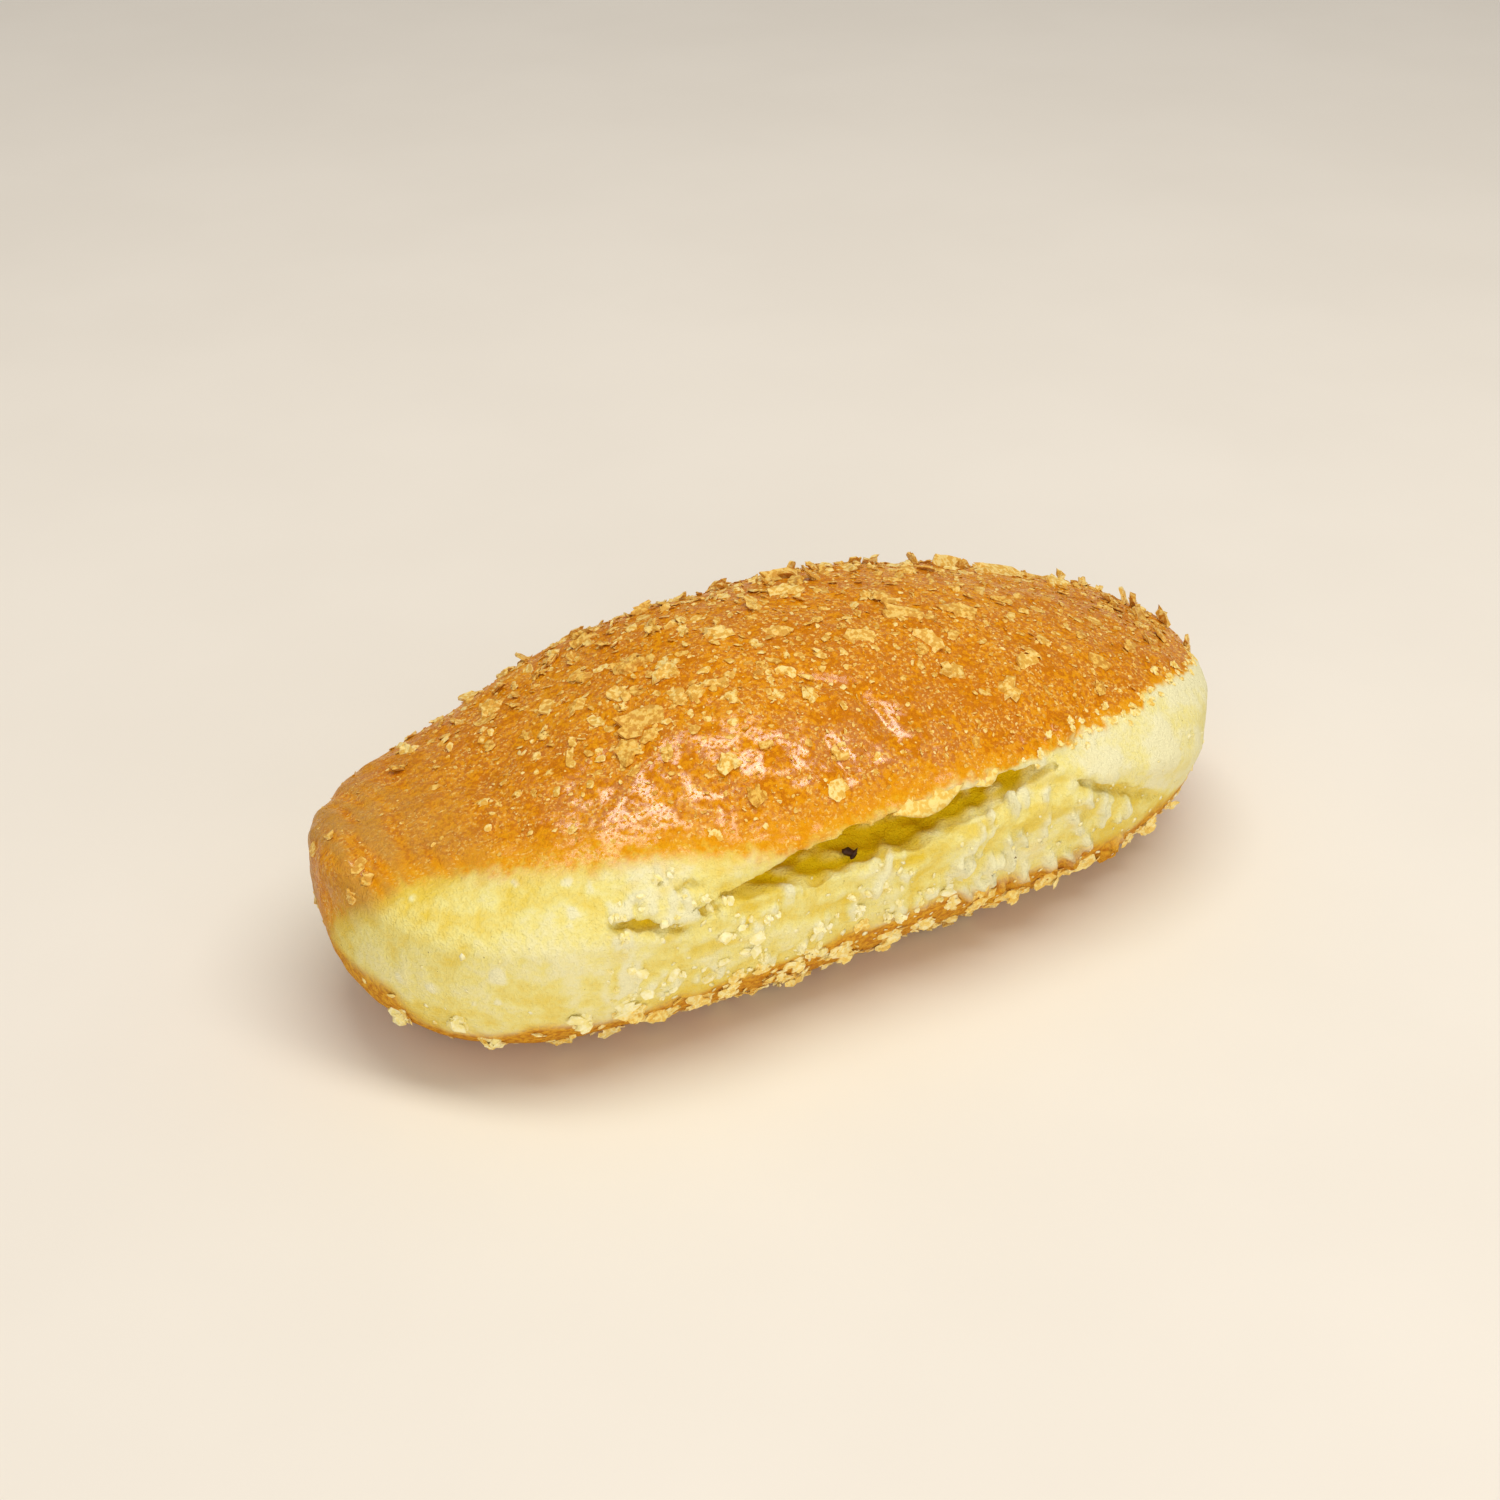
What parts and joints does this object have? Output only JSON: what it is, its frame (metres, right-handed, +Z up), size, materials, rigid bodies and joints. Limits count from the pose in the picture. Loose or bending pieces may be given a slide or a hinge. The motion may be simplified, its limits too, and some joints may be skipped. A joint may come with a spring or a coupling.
{
  "type": "curry bread",
  "caption": "Baked curry bread: a torpedo-shaped filled bun with a glossy browned crown, a pale side split open along its length, and coarse bread crumbs baked onto it.",
  "frame": {"origin": "on the table under the middle of the bun", "axes": "+X along the bun towards its tapered right end, -Y towards the split side, +Z up"},
  "size_m": [0.14, 0.0651, 0.0446],
  "materials": {
    "crust": "egg-washed baked crust with a soft gloss, pale matte dough on the sides, dry golden crumbs"
  },
  "bodies": {
    "root": {"bread": "crust"}
  },
  "joints": []
}
